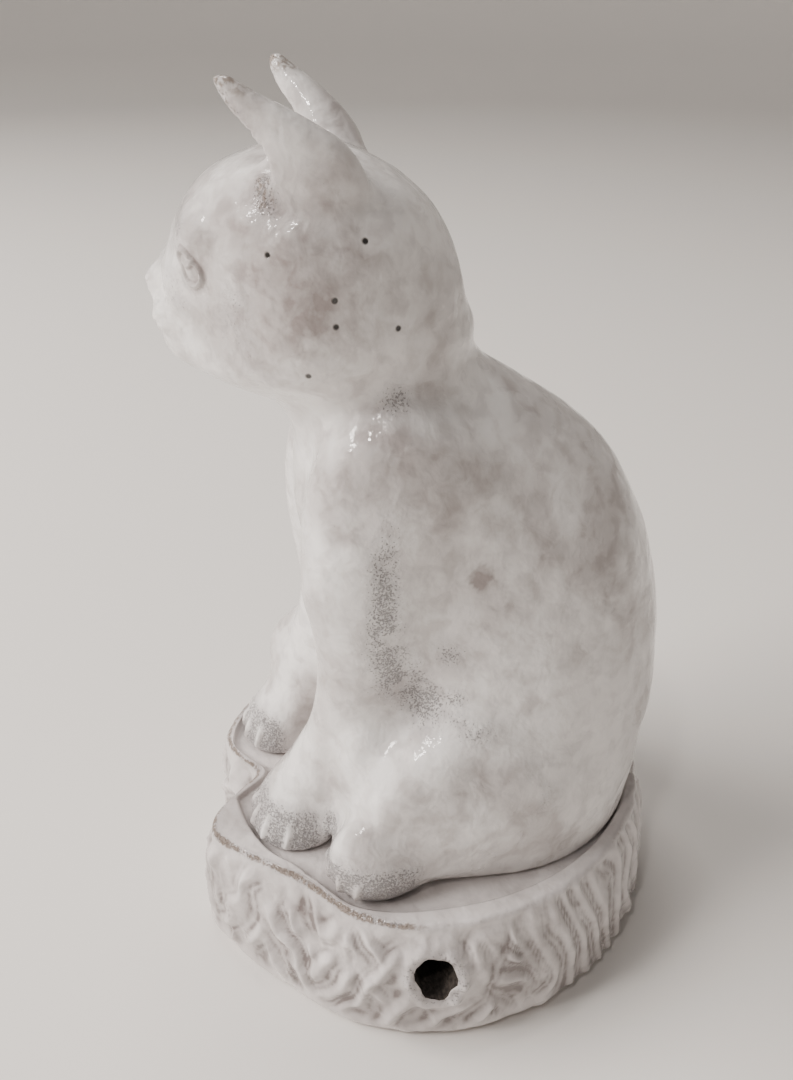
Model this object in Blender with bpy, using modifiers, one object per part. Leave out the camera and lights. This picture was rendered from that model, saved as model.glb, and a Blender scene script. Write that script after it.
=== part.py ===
"""Ceramic cat figurine: a hollow seated cat that lifts off a hollow stump carved like bark.

The cat faces -Y and its own left side is +X.  The origin is under the middle of the stump, on the
surface that it stands on.  Places are drawn in millimetres around the point that the stump's
outline is struck from, and new_mesh_object() turns them into metres from the origin.
The pieces are the ones a potter forms separately and lutes together with slip, so each is its own
solid and neighbours keep the width of the slip joint between them.
"""
import math

import bmesh
import bpy
from mathutils import Matrix, Vector

MM = 0.001

# Driving dimensions
SLIP = 0.3                      # gap between luted or resting pieces
SHELL = 5.0                     # wall of the hollow torso and head
DECK_Z = 42.0                   # top of the stump
SEAT_DEPTH = 2.5                # the shallow seat sunk into the deck
SEAT_Z = DECK_Z - SEAT_DEPTH
SOLE_Z = SEAT_Z + SLIP          # underside of the whole cat
DECK_THICKNESS = 6.5
FLOOR_THICKNESS = 6.0
STUMP_WALL = 9.0
RIM_RADIUS = 69.0               # mean radius of the deck's rim
STUMP_MIDDLE = Vector((0.04, 1.81, 0.0))    # middle of the whole object's plan; becomes the origin
BELLY_FLARE = 6.5               # how far the stump's side swells below the rim
STEEP_SIDE = -122.0             # direction, in degrees, in which the stump's side has no belly
SEAT_MARGIN = 2.5               # least width of deck left outside the seat
HOLE_CENTRE = Vector((69.0, -11.5, 26.0))
HOLE_SIZE = (12.5, 15.0)        # draught hole, width and height
CHAMBER_OPENING_RADIUS = 30.0   # from the stump's chamber up into the cat
CHAMBER_OPENING_CENTRE = Vector((2.0, 18.0))

NECK_CENTRE = Vector((-3.0, -12.0, 181.3))
NECK_RADIUS = 24.6
NECK_SLOPE = 0.25               # the neck joint rises towards the back
HEAD_CENTRE = Vector((-6.0, -30.0, 0.0))
HEAD_TURN = math.radians(20.0)  # the head looks to the cat's right

CAGE_SIDES = 16                 # corners of a soft form's cross-section before subdivision
CAGE_SWELL = 1.02               # makes up for what subdivision takes off a cage this coarse
OUTLINE_STEPS = 72              # corners of the stump's outline

# Torso: height, front y, back y, half width
TORSO_STATIONS = (
    (14.0, -28.0, 69.0, 52.0),
    (32.0, -28.0, 69.0, 52.5),
    (46.0, -30.0, 70.5, 53.0),
    (62.0, -30.0, 74.0, 51.5),
    (84.0, -30.0, 77.0, 48.0),
    (106.0, -31.0, 76.0, 43.5),
    (128.0, -33.5, 70.5, 39.0),
    (147.0, -38.0, 61.5, 35.0),
    (162.0, -36.5, 46.0, 30.5),
    (173.0, -36.5, 26.0, 26.5),
)
TORSO_MIDDLE_X = 1.0

# Forelegs: height, middle x, middle y, half width, half depth, toe-out in degrees
LEFT_LEG_STATIONS = (
    (34.0, 17.5, -44.0, 13.5, 12.5, 24.0),
    (43.0, 17.5, -44.5, 15.5, 14.5, 24.0),
    (51.0, 16.0, -42.0, 15.0, 14.0, 22.0),
    (60.0, 15.0, -34.5, 13.0, 12.0, 14.0),
    (72.0, 15.5, -27.5, 12.5, 12.0, 0.0),
    (90.0, 18.5, -21.5, 14.0, 13.5, 0.0),
    (110.0, 21.5, -19.0, 15.5, 16.5, 0.0),
    (130.0, 23.5, -20.0, 15.5, 19.0, 0.0),
    (146.0, 23.0, -19.5, 14.5, 19.5, 0.0),
    (158.0, 20.0, -17.5, 12.0, 15.5, 0.0),
    (166.0, 17.5, -15.5, 6.0, 8.0, 0.0),
)
RIGHT_LEG_STATIONS = (
    (34.0, -26.5, -44.0, 13.0, 11.5, 0.0),
    (43.0, -27.0, -44.5, 14.5, 13.5, 0.0),
    (51.0, -27.0, -41.5, 14.0, 13.0, 0.0),
    (60.0, -26.0, -33.5, 12.0, 11.5, 0.0),
    (72.0, -24.5, -27.5, 12.0, 12.0, 0.0),
    (90.0, -24.5, -21.5, 13.5, 13.5, 0.0),
    (110.0, -25.0, -18.0, 14.5, 16.0, 0.0),
    (130.0, -25.5, -19.0, 14.5, 18.5, 0.0),
    (146.0, -24.5, -19.0, 14.0, 19.0, 0.0),
    (158.0, -21.5, -17.0, 11.5, 15.0, 0.0),
    (166.0, -18.5, -15.5, 6.0, 8.0, 0.0),
)

# Head, in its own turned frame: height, slope, back, front, half width, narrowing of the muzzle
HEAD_STATIONS = (
    (187.0, 0.12, -40.5, 35.0, 30.5, 0.40),
    (194.0, 0.05, -42.0, 40.0, 33.5, 0.50),
    (201.0, 0.0, -42.0, 42.0, 35.0, 0.55),
    (208.0, 0.0, -41.0, 43.5, 35.0, 0.50),
    (216.0, 0.0, -38.5, 36.0, 34.0, 0.30),
    (225.0, 0.0, -34.5, 32.5, 31.0, 0.15),
    (233.0, 0.0, -27.0, 26.0, 25.5, 0.05),
    (239.0, 0.0, -15.0, 14.5, 15.5, 0.0),
    (241.0, 0.0, -6.0, 6.0, 6.5, 0.0),
)

# Ear in the head's frame: height, forward, sideways, half depth, half width
EAR_STATIONS = (
    (222.0, -8.0, 17.0, 10.0, 10.0),
    (232.0, -8.5, 19.0, 12.0, 8.5),
    (241.0, -6.5, 21.0, 12.8, 6.8),
    (247.0, -1.5, 22.5, 10.5, 5.2),
    (252.0, 5.0, 24.2, 6.2, 3.8),
    (256.0, 10.0, 25.0, 2.8, 2.3),
    (258.0, 11.5, 25.2, 1.4, 1.4),
)
EAR_DEPTHS = {"ear_left": 1.0, "ear_right": 0.72}   # the right ear is the slimmer one
EAR_SCOOP_SHIFT = 3.0           # how far its hollow stands out of the front of the ear
EAR_SCOOP_SCALE = 0.62

# Haunches and hind paws: middle, radii, turn about the vertical and rise of the front, degrees
HAUNCHES = {
    "haunch_left": (Vector((37.0, 6.0, 63.0)), Vector((19.5, 36.0, 28.0)), 0.0, 10.0),
    "haunch_right": (Vector((-37.0, -5.0, 63.0)), Vector((19.5, 40.0, 26.0)), 0.0, 10.0),
}
HIND_PAWS = {
    "hind_paw_left": (Vector((42.0, -20.0, 48.5)), Vector((15.5, 18.5, 15.5)), 26.0, 0.0),
    "hind_paw_right": (Vector((-43.5, -27.0, 48.5)), Vector((14.0, 17.0, 15.5)), -16.0, 0.0),
}

# Tail: middle of its round section, from the root behind to the tip by the right hind paw
TAIL_ROUTE = (
    (8.0, 57.0, 52.0), (-10.0, 66.0, 50.5), (-30.0, 60.0, 49.5), (-45.0, 44.0, 48.5),
    (-53.5, 24.0, 48.0), (-56.5, 4.0, 48.0), (-55.5, -10.0, 48.0),
)
TAIL_RADIUS = 8.0

GLAZE_WHITE = (0.78, 0.77, 0.80, 1.0)
GLAZE_GREY = (0.55, 0.52, 0.55, 1.0)


# ---- scene and mesh helpers ------------------------------------------------------------------

def clear_scene():
    for old in list(bpy.data.objects):
        bpy.data.objects.remove(old, do_unlink=True)


def make_collection(name):
    collection = bpy.data.collections.new(name)
    bpy.context.scene.collection.children.link(collection)
    return collection


def glaze_material(name, colour, roughness):
    material = bpy.data.materials.new(name)
    material.use_nodes = True
    shader = material.node_tree.nodes["Principled BSDF"]
    shader.inputs["Base Color"].default_value = colour
    shader.inputs["Roughness"].default_value = roughness
    shader.inputs["Metallic"].default_value = 0.0
    material.diffuse_color = colour
    return material


def new_mesh_object(name, bm, collection, anchor=(0.0, 0.0, 0.0)):
    """Turn a bmesh in millimetres into an object in metres whose origin is at the anchor."""
    anchor = Vector(anchor)
    bmesh.ops.translate(bm, verts=bm.verts, vec=-anchor)
    bmesh.ops.scale(bm, verts=bm.verts, vec=Vector((MM, MM, MM)))
    mesh = bpy.data.meshes.new(name)
    bm.to_mesh(mesh)
    bm.free()
    obj = bpy.data.objects.new(name, mesh)
    obj.location = (anchor - STUMP_MIDDLE) * MM
    collection.objects.link(obj)
    return obj


def evaluated_mesh(obj):
    depsgraph = bpy.context.evaluated_depsgraph_get()
    return bpy.data.meshes.new_from_object(obj.evaluated_get(depsgraph))


def smooth_shade(obj, angle=40.0):
    obj.data.shade_smooth()
    obj.data.set_sharp_from_angle(angle=math.radians(angle))


def as_cutter(obj):
    obj.hide_render = True
    obj.display_type = "WIRE"
    return obj


# ---- shape helpers ---------------------------------------------------------------------------

def oval(middle, half_x, half_y, turn=0.0, slope=0.0, narrowing=0.0, sides=CAGE_SIDES):
    """Corners of an oval cross-section; -Y is its front, where narrowing pulls its sides in.

    slope tips the section so that it rises by slope for each unit towards the back.
    """
    corners = []
    for step in range(sides):
        angle = 2.0 * math.pi * step / sides
        forward = math.cos(angle)
        across = math.sin(angle) * (1.0 - narrowing * max(0.0, forward))
        x = half_x * across
        y = -half_y * forward
        turned = Matrix.Rotation(turn, 3, "Z") @ Vector((x, y, 0.0))
        corners.append(middle + turned + Vector((0.0, 0.0, slope * y)))
    return corners


def loft(rings, cap_first, cap_last, close_loop=False):
    """Skin a stack of rings with the same number of corners; caps are single faces."""
    bm = bmesh.new()
    rows = [[bm.verts.new(corner) for corner in ring] for ring in rings]
    pairs = list(zip(rows, rows[1:]))
    if close_loop:
        pairs.append((rows[-1], rows[0]))
    for lower, upper in pairs:
        for index in range(len(lower)):
            following = (index + 1) % len(lower)
            bm.faces.new((lower[index], lower[following], upper[following], upper[index]))
    if cap_first:
        bm.faces.new(list(reversed(rows[0])))
    if cap_last:
        bm.faces.new(rows[-1])
    return bm


def subdivide(obj, levels=1):
    modifier = obj.modifiers.new("soften", "SUBSURF")
    modifier.levels = levels
    modifier.render_levels = levels


def cut(obj, cutter):
    modifier = obj.modifiers.new("cut_" + cutter.name, "BOOLEAN")
    modifier.operation = "DIFFERENCE"
    modifier.solver = "EXACT"
    modifier.object = cutter


def swollen_copy(obj, cutters, swell=SLIP):
    """A cutter that is the finished object grown by the slip joint's width."""
    mesh = evaluated_mesh(obj)
    bm = bmesh.new()
    bm.from_mesh(mesh)
    bm.normal_update()
    for vertex in bm.verts:
        vertex.co += vertex.normal * swell * MM
    bm.to_mesh(mesh)
    bm.free()
    copy = bpy.data.objects.new(obj.name + "_room", mesh)
    copy.matrix_world = obj.matrix_world.copy()
    cutters.objects.link(copy)
    return as_cutter(copy)


def slab_cutter(name, cutters, plane_point, up, size=260.0):
    """A block whose one face lies on a plane and which fills the side that `up` points to."""
    bm = bmesh.new()
    tip = Vector((0.0, 0.0, 1.0)).rotation_difference(up).to_matrix().to_4x4()
    place = Matrix.Translation(plane_point) @ tip @ Matrix.Translation((0.0, 0.0, size / 2.0))
    bmesh.ops.create_cube(bm, size=size, matrix=place)
    return as_cutter(new_mesh_object(name, bm, cutters))


def ellipsoid(middle, radii, turn_degrees, rise_degrees):
    bm = bmesh.new()
    place = (Matrix.Translation(middle) @ Matrix.Rotation(math.radians(turn_degrees), 4, "Z")
             @ Matrix.Rotation(math.radians(-rise_degrees), 4, "X")
             @ Matrix.Diagonal(radii).to_4x4())
    bmesh.ops.create_uvsphere(bm, u_segments=28, v_segments=16, radius=1.0, matrix=place)
    return bm


def bump(angle_degrees, middle_degrees, width_degrees):
    """A smooth hill over an angle, 1 at its middle, used for the lobes of the stump."""
    offset = (angle_degrees - middle_degrees + 180.0) % 360.0 - 180.0
    return math.exp(-(offset / width_degrees) ** 2)


def rim_radius(angle_degrees):
    """Distance from the origin to the deck's rim: two front lobes with a notch between them."""
    return (RIM_RADIUS
            + 5.0 * bump(angle_degrees, 90.0, 45.0)
            + 4.0 * bump(angle_degrees, -75.0, 8.0)
            - 6.0 * bump(angle_degrees, -46.0, 15.0)
            - 15.0 * bump(angle_degrees, -95.0, 10.0))


def side_radius(angle_degrees, height):
    """Radius of the stump's side at a height: a belly below the rim, drawn in at the foot."""
    drop = min(1.0, (DECK_Z - height) / 26.0)
    flare = BELLY_FLARE * math.sin(drop * math.pi / 2.0)
    flare *= 1.0 - 0.9 * bump(angle_degrees, STEEP_SIDE, 28.0)
    rounder = RIM_RADIUS + 0.45 * (rim_radius(angle_degrees) - RIM_RADIUS)
    radius = rim_radius(angle_degrees) * (1.0 - drop) + rounder * drop + flare
    foot = max(0.0, 1.0 - height / 5.0)
    return radius - 3.0 * foot ** 2


def outline(radius_at, height):
    corners = []
    for step in range(OUTLINE_STEPS):
        degrees = 360.0 * step / OUTLINE_STEPS
        radius = radius_at(degrees)
        angle = math.radians(degrees)
        corners.append(Vector((radius * math.cos(angle), radius * math.sin(angle), height)))
    return corners


def seat_radius(angle_degrees):
    """Outline of the shallow seat, which follows the paws in front and the rump behind."""
    paws = (62.0
            + 2.5 * bump(angle_degrees, -26.0, 16.0)
            - 2.5 * bump(angle_degrees, -50.0, 8.0)
            + 4.0 * bump(angle_degrees, -119.0, 14.0)
            + 4.0 * bump(angle_degrees, -148.0, 20.0))
    behind = paws + 9.0 * bump(angle_degrees, 92.0, 52.0)
    return min(behind, rim_radius(angle_degrees) - SEAT_MARGIN)


# ---- stump -----------------------------------------------------------------------------------

def chamber_radius(angle_degrees):
    return side_radius(angle_degrees, DECK_Z - DECK_THICKNESS) - STUMP_WALL


def make_stump_wall(stump, cutters):
    top = DECK_Z - DECK_THICKNESS - SLIP
    heights = (0.0, 2.5, 6.0, 14.0, 24.0, top)
    rings = [outline(lambda a, z=z: side_radius(a, z), z) for z in heights]
    rings.append(outline(chamber_radius, top))
    rings.append(outline(chamber_radius, 0.0))
    wall = new_mesh_object("stump_wall", loft(rings, False, False, close_loop=True), stump)
    width, height = HOLE_SIZE
    bm = bmesh.new()
    bmesh.ops.create_cone(bm, cap_ends=True, segments=6, radius1=0.5, radius2=0.5, depth=40.0,
                          matrix=Matrix.Translation(HOLE_CENTRE)
                          @ Matrix.Diagonal((1.0, width, height, 1.0))
                          @ Matrix.Rotation(math.radians(90.0), 4, "Y"))
    cut(wall, as_cutter(new_mesh_object("draught_hole", bm, cutters)))
    return wall


def make_stump_deck(stump, cutters):
    bottom = DECK_Z - DECK_THICKNESS
    rings = [outline(lambda a, z=z: side_radius(a, z), z) for z in (bottom, DECK_Z - 1.0)]
    rings.append(outline(lambda a: rim_radius(a) - 0.8, DECK_Z))
    deck = new_mesh_object("stump_deck", loft(rings, True, True), stump)
    seat = loft([outline(seat_radius, SEAT_Z), outline(seat_radius, DECK_Z + 10.0)], True, True)
    cut(deck, as_cutter(new_mesh_object("seat_recess", seat, cutters)))
    bm = bmesh.new()
    middle = Vector((CHAMBER_OPENING_CENTRE.x, CHAMBER_OPENING_CENTRE.y, DECK_Z))
    bmesh.ops.create_cone(bm, cap_ends=True, segments=40, radius1=CHAMBER_OPENING_RADIUS,
                          radius2=CHAMBER_OPENING_RADIUS, depth=40.0,
                          matrix=Matrix.Translation(middle))
    cut(deck, as_cutter(new_mesh_object("chamber_opening", bm, cutters)))
    return deck


def make_stump_floor(stump):
    def inside(angle):
        return chamber_radius(angle) - SLIP
    rings = [outline(inside, 0.0), outline(inside, FLOOR_THICKNESS)]
    return new_mesh_object("stump_floor", loft(rings, True, True), stump)


# ---- cat -------------------------------------------------------------------------------------

def torso_rings():
    rings = []
    for height, front, back, half_width in TORSO_STATIONS:
        middle = Vector((TORSO_MIDDLE_X, (front + back) / 2.0, height))
        steepness = max(0.0, (height - 140.0) / (NECK_CENTRE.z - 140.0))
        middle.x += (NECK_CENTRE.x - TORSO_MIDDLE_X) * steepness
        rings.append(oval(middle, half_width * CAGE_SWELL, (back - front) / 2.0 * CAGE_SWELL,
                          slope=NECK_SLOPE * steepness))
    for rise in (0.0, 6.0, 14.0):
        middle = NECK_CENTRE + Vector((0.0, 0.0, rise))
        rings.append(oval(middle, NECK_RADIUS * CAGE_SWELL, NECK_RADIUS * CAGE_SWELL,
                          slope=NECK_SLOPE))
    return rings


def neck_up():
    return Vector((0.0, -NECK_SLOPE, 1.0)).normalized()


def make_torso(cat, cutters, ground):
    torso = new_mesh_object("cat_torso", loft(torso_rings(), False, False), cat,
                            Vector((0.0, 20.0, SOLE_Z)))
    subdivide(torso)
    shell = torso.modifiers.new("wall", "SOLIDIFY")
    shell.thickness = SHELL * MM
    shell.offset = -1.0
    cut(torso, ground)
    cut(torso, slab_cutter("above_neck", cutters, NECK_CENTRE, neck_up()))
    return torso


def make_torso_room(cutters):
    """The torso's outer form, closed and grown by the slip joint, to trim what is luted on it."""
    body = new_mesh_object("torso_form", loft(torso_rings(), True, True), cutters)
    subdivide(body)
    return swollen_copy(as_cutter(body), cutters)


def make_foreleg(name, stations, cat, ground, rooms):
    rings = []
    for height, x, y, half_width, half_depth, toe_out in stations:
        rings.append(oval(Vector((x, y, height)), half_width * CAGE_SWELL,
                          half_depth * CAGE_SWELL, turn=math.radians(toe_out)))
    anchor = Vector((stations[1][1], stations[1][2], SOLE_Z))
    leg = new_mesh_object(name, loft(rings, True, True), cat, anchor)
    subdivide(leg)
    for cutter in (ground, *rooms):
        cut(leg, cutter)
    return leg


def make_lump(name, form, cat, ground, rooms):
    """A rounded pad of clay, such as a haunch or a paw, trimmed to what it is luted to."""
    middle = form[0]
    lump = new_mesh_object(name, ellipsoid(*form), cat, Vector((middle.x, middle.y, SOLE_Z)))
    for cutter in (ground, *rooms):
        cut(lump, cutter)
    return lump


def head_point(forward, sideways, height):
    """A place in the head's turned frame; sideways is towards the cat's own left."""
    facing = Vector((-math.sin(HEAD_TURN), -math.cos(HEAD_TURN), 0.0))
    left = Vector((math.cos(HEAD_TURN), -math.sin(HEAD_TURN), 0.0))
    return HEAD_CENTRE + facing * forward + left * sideways + Vector((0.0, 0.0, height))


def head_rings():
    rings = []
    for drop in (8.0, 0.0):
        middle = NECK_CENTRE - Vector((0.0, 0.0, drop))
        rings.append(oval(middle, NECK_RADIUS * CAGE_SWELL, NECK_RADIUS * CAGE_SWELL,
                          turn=-HEAD_TURN, slope=NECK_SLOPE))
    for height, slope, back, front, half_width, narrowing in HEAD_STATIONS:
        rings.append(oval(head_point((front + back) / 2.0, 0.0, height),
                          half_width * CAGE_SWELL, (front - back) / 2.0 * CAGE_SWELL,
                          turn=-HEAD_TURN, slope=slope, narrowing=narrowing))
    return rings


def make_head(cat, cutters):
    head = new_mesh_object("cat_head", loft(head_rings(), False, True), cat, NECK_CENTRE)
    subdivide(head)
    shell = head.modifiers.new("wall", "SOLIDIFY")
    shell.thickness = SHELL * MM
    shell.offset = -1.0
    joint = NECK_CENTRE + neck_up() * SLIP
    cut(head, slab_cutter("below_neck", cutters, joint, -neck_up()))
    return head


def make_head_room(cutters):
    form = new_mesh_object("head_form", loft(head_rings(), True, True), cutters)
    subdivide(form)
    return swollen_copy(as_cutter(form), cutters)


def ear_rings(side, depth, scale, shift):
    """Sections of an ear whose front edge stays in place while its depth and size are scaled."""
    rings = []
    for height, forward, sideways, half_depth, half_width in EAR_STATIONS:
        front = forward + half_depth
        reach = half_depth * depth * scale
        middle = head_point(front - reach + shift, side * sideways, height)
        rings.append(oval(middle, half_width * scale, reach, turn=-HEAD_TURN, sides=12))
    return rings


def make_ear(name, side, cat, cutters, head_room):
    depth = EAR_DEPTHS[name]
    height, forward, sideways, _, _ = EAR_STATIONS[0]
    ear = new_mesh_object(name, loft(ear_rings(side, depth, 1.0, 0.0), True, True), cat,
                          head_point(forward, side * sideways, height))
    subdivide(ear)
    scoop_rings = ear_rings(side, depth, EAR_SCOOP_SCALE, EAR_SCOOP_SHIFT)
    scoop = new_mesh_object(name + "_hollow", loft(scoop_rings, True, True), cutters)
    subdivide(scoop)
    cut(ear, head_room)
    cut(ear, as_cutter(scoop))
    return ear


def make_tail(cat, ground, rooms):
    curve = bpy.data.curves.new("tail_route", "CURVE")
    curve.dimensions = "3D"
    curve.bevel_depth = TAIL_RADIUS * MM
    curve.bevel_resolution = 3
    curve.resolution_u = 4
    curve.use_fill_caps = True
    spline = curve.splines.new("NURBS")
    spline.points.add(len(TAIL_ROUTE) - 1)
    for point, place in zip(spline.points, TAIL_ROUTE):
        point.co = (*((Vector(place) - STUMP_MIDDLE) * MM), 1.0)
    spline.order_u = 4
    spline.use_endpoint_u = True
    spline.points[-1].radius = 0.45
    guide = bpy.data.objects.new("tail_guide", curve)
    cat.objects.link(guide)
    bpy.context.view_layer.update()
    mesh = evaluated_mesh(guide)
    bm = bmesh.new()
    bm.from_mesh(mesh)
    bmesh.ops.remove_doubles(bm, verts=bm.verts, dist=0.00001)
    bmesh.ops.recalc_face_normals(bm, faces=bm.faces)
    bm.to_mesh(mesh)
    bm.free()
    tail = bpy.data.objects.new("tail", mesh)
    tail.matrix_world = guide.matrix_world.copy()
    cat.objects.link(tail)
    bpy.data.objects.remove(guide, do_unlink=True)
    for cutter in (ground, *rooms):
        cut(tail, cutter)
    return tail


# ---- assembly --------------------------------------------------------------------------------

def main():
    clear_scene()
    parts = make_collection("ceramic_cat_figurine")
    cutters = make_collection("cutters")

    stump_pieces = [make_stump_wall(parts, cutters), make_stump_deck(parts, cutters),
                    make_stump_floor(parts)]

    ground = slab_cutter("below_sole", cutters, Vector((0.0, 0.0, SOLE_Z)),
                         Vector((0.0, 0.0, -1.0)))
    torso_room = make_torso_room(cutters)
    cat_pieces = [make_torso(parts, cutters, ground)]
    rooms = [torso_room]
    for name, form in (*HIND_PAWS.items(), *HAUNCHES.items()):
        lump = make_lump(name, form, parts, ground, rooms)
        cat_pieces.append(lump)
        rooms.append(swollen_copy(lump, cutters))
    for name, stations in (("foreleg_left", LEFT_LEG_STATIONS),
                           ("foreleg_right", RIGHT_LEG_STATIONS)):
        cat_pieces.append(make_foreleg(name, stations, parts, ground, rooms))
    cat_pieces.append(make_tail(parts, ground, rooms))
    cat_pieces.append(make_head(parts, cutters))
    head_room = make_head_room(cutters)
    cat_pieces.append(make_ear("ear_left", 1.0, parts, cutters, head_room))
    cat_pieces.append(make_ear("ear_right", -1.0, parts, cutters, head_room))

    lift_axis = bpy.data.objects.new("cat_lift_axis", None)
    lift_axis.location = Vector((0.0, 0.0, SOLE_Z)) * MM
    parts.objects.link(lift_axis)
    bpy.context.view_layer.update()
    for piece in cat_pieces:
        piece.parent = lift_axis
        piece.matrix_parent_inverse = lift_axis.matrix_world.inverted()
    for piece in cat_pieces:
        piece.data.materials.append(glaze_material(piece.name + "_glaze", GLAZE_WHITE, 0.12))
        smooth_shade(piece)
    for piece in stump_pieces:
        piece.data.materials.append(glaze_material(piece.name + "_glaze", GLAZE_GREY, 0.25))
        smooth_shade(piece)


main()
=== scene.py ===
"""The looks of the ceramic cat figurine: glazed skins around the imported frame.

The cat's pieces are melted into one skin, as the glaze does on the real figurine: their forms
are turned into distance fields, blended, carved and meshed again.  The stump's wall and deck are
one lathe-like lattice with bark worked into its side.  Places are drawn in millimetres around the
point that the stump's outline is struck from, as in the CAD source, and in_metres() turns them
into metres around the object's origin.
"""

import math

import bmesh
import bpy
import numpy as np
import openvdb
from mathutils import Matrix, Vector


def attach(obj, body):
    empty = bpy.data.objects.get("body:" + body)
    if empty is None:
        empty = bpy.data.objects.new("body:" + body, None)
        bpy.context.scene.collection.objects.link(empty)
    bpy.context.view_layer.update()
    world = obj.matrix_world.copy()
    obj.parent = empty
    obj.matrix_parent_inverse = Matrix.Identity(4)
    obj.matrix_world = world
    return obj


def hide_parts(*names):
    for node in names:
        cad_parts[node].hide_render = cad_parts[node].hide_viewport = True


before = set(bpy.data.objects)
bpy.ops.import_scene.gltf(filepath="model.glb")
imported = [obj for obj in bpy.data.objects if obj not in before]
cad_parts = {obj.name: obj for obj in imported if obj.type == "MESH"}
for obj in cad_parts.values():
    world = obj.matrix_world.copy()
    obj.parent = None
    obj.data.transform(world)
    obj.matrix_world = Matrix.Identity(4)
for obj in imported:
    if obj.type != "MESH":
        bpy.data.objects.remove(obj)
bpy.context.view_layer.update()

MM = 0.001
STUMP_MIDDLE = np.array((0.04, 1.81, 0.0))  # the object's origin in drawing coordinates

# Stump, as in the CAD source
DECK_Z = 42.0
SEAT_DEPTH = 2.5
SOLE_Z = 39.8
DECK_THICKNESS = 6.5
STUMP_WALL = 9.0
RIM_RADIUS = 69.0
BELLY_FLARE = 6.5
STEEP_SIDE = -122.0
SEAT_MARGIN = 2.5
HOLE_CENTRE = np.array((69.0, -11.5, 26.0))
OPENING_RADIUS = 30.0
OPENING_CENTRE = np.array((2.0, 18.0, 0.0))

# Stump's skin
STUMP_COLUMNS = 620
SIDE_ROWS = 66  # rings of the lattice on the stump's side
DECK_ROWS = 14  # rings on the rim and the deck
CHAMBER_ROWS = 10  # rings under the deck and inside the chamber
RIM_ROUND = 2.2  # radius of the deck's edge
HOLE_WIDTH = 11.4
HOLE_HEIGHT = 15.0
HOLE_CORNERS = 26

# Cat, as in the CAD source
SHELL = 5.0
NECK_CENTRE = np.array((-3.0, -12.0, 181.3))
NECK_RADIUS = 24.6
NECK_SLOPE = 0.25
HEAD_CENTRE = np.array((-6.0, -30.0, 0.0))
HEAD_TURN = math.radians(20.0)
FACING = np.array((-math.sin(HEAD_TURN), -math.cos(HEAD_TURN), 0.0))
LEFTWARD = np.array((math.cos(HEAD_TURN), -math.sin(HEAD_TURN), 0.0))
CAGE_SIDES = 16
CAGE_SWELL = 1.02
TORSO_MIDDLE_X = 1.0
LEAN_FROM = 140.0  # height from which the torso leans towards the neck

# Torso: height, front y, back y, half width
TORSO_STATIONS = (
    (14.0, -28.0, 69.0, 52.0),
    (32.0, -28.0, 69.0, 52.5),
    (46.0, -30.0, 70.5, 53.0),
    (62.0, -30.0, 74.0, 51.5),
    (84.0, -30.0, 77.0, 48.0),
    (106.0, -31.0, 76.0, 43.5),
    (128.0, -33.5, 70.5, 39.0),
    (147.0, -38.0, 61.5, 35.0),
    (162.0, -36.5, 46.0, 30.5),
    (173.0, -36.5, 26.0, 26.5),
)

# Forelegs: height, middle x, middle y, half width, half depth, toe-out in degrees
LEFT_LEG_STATIONS = (
    (34.0, 17.5, -44.0, 13.5, 12.5, 24.0),
    (43.0, 17.5, -44.5, 15.5, 14.5, 24.0),
    (51.0, 16.0, -42.0, 15.0, 14.0, 22.0),
    (60.0, 15.0, -34.5, 13.0, 12.0, 14.0),
    (72.0, 15.5, -27.5, 12.5, 12.0, 0.0),
    (90.0, 18.5, -21.5, 14.0, 13.5, 0.0),
    (110.0, 21.5, -19.0, 15.5, 16.5, 0.0),
    (130.0, 23.5, -20.0, 15.5, 19.0, 0.0),
    (146.0, 23.0, -19.5, 14.5, 19.5, 0.0),
    (158.0, 20.0, -17.5, 12.0, 15.5, 0.0),
    (166.0, 17.5, -15.5, 6.0, 8.0, 0.0),
)
RIGHT_LEG_STATIONS = (
    (34.0, -26.5, -44.0, 13.0, 11.5, 0.0),
    (43.0, -27.0, -44.5, 14.5, 13.5, 0.0),
    (51.0, -27.0, -41.5, 14.0, 13.0, 0.0),
    (60.0, -26.0, -33.5, 12.0, 11.5, 0.0),
    (72.0, -24.5, -27.5, 12.0, 12.0, 0.0),
    (90.0, -24.5, -21.5, 13.5, 13.5, 0.0),
    (110.0, -25.0, -18.0, 14.5, 16.0, 0.0),
    (130.0, -25.5, -19.0, 14.5, 18.5, 0.0),
    (146.0, -24.5, -19.0, 14.0, 19.0, 0.0),
    (158.0, -21.5, -17.0, 11.5, 15.0, 0.0),
    (166.0, -18.5, -15.5, 6.0, 8.0, 0.0),
)

# Head, in its own turned frame: height, slope, back, front, half width, narrowing of the muzzle
HEAD_STATIONS = (
    (187.0, 0.12, -40.5, 35.0, 30.5, 0.40),
    (194.0, 0.05, -42.0, 40.0, 33.5, 0.50),
    (201.0, 0.0, -42.0, 42.0, 35.0, 0.55),
    (208.0, 0.0, -41.0, 43.5, 35.0, 0.50),
    (216.0, 0.0, -38.5, 36.0, 34.0, 0.30),
    (225.0, 0.0, -34.5, 32.5, 31.0, 0.15),
    (233.0, 0.0, -27.0, 26.0, 25.5, 0.05),
    (239.0, 0.0, -15.0, 14.5, 15.5, 0.0),
    (241.0, 0.0, -6.0, 6.0, 6.5, 0.0),
)

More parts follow.
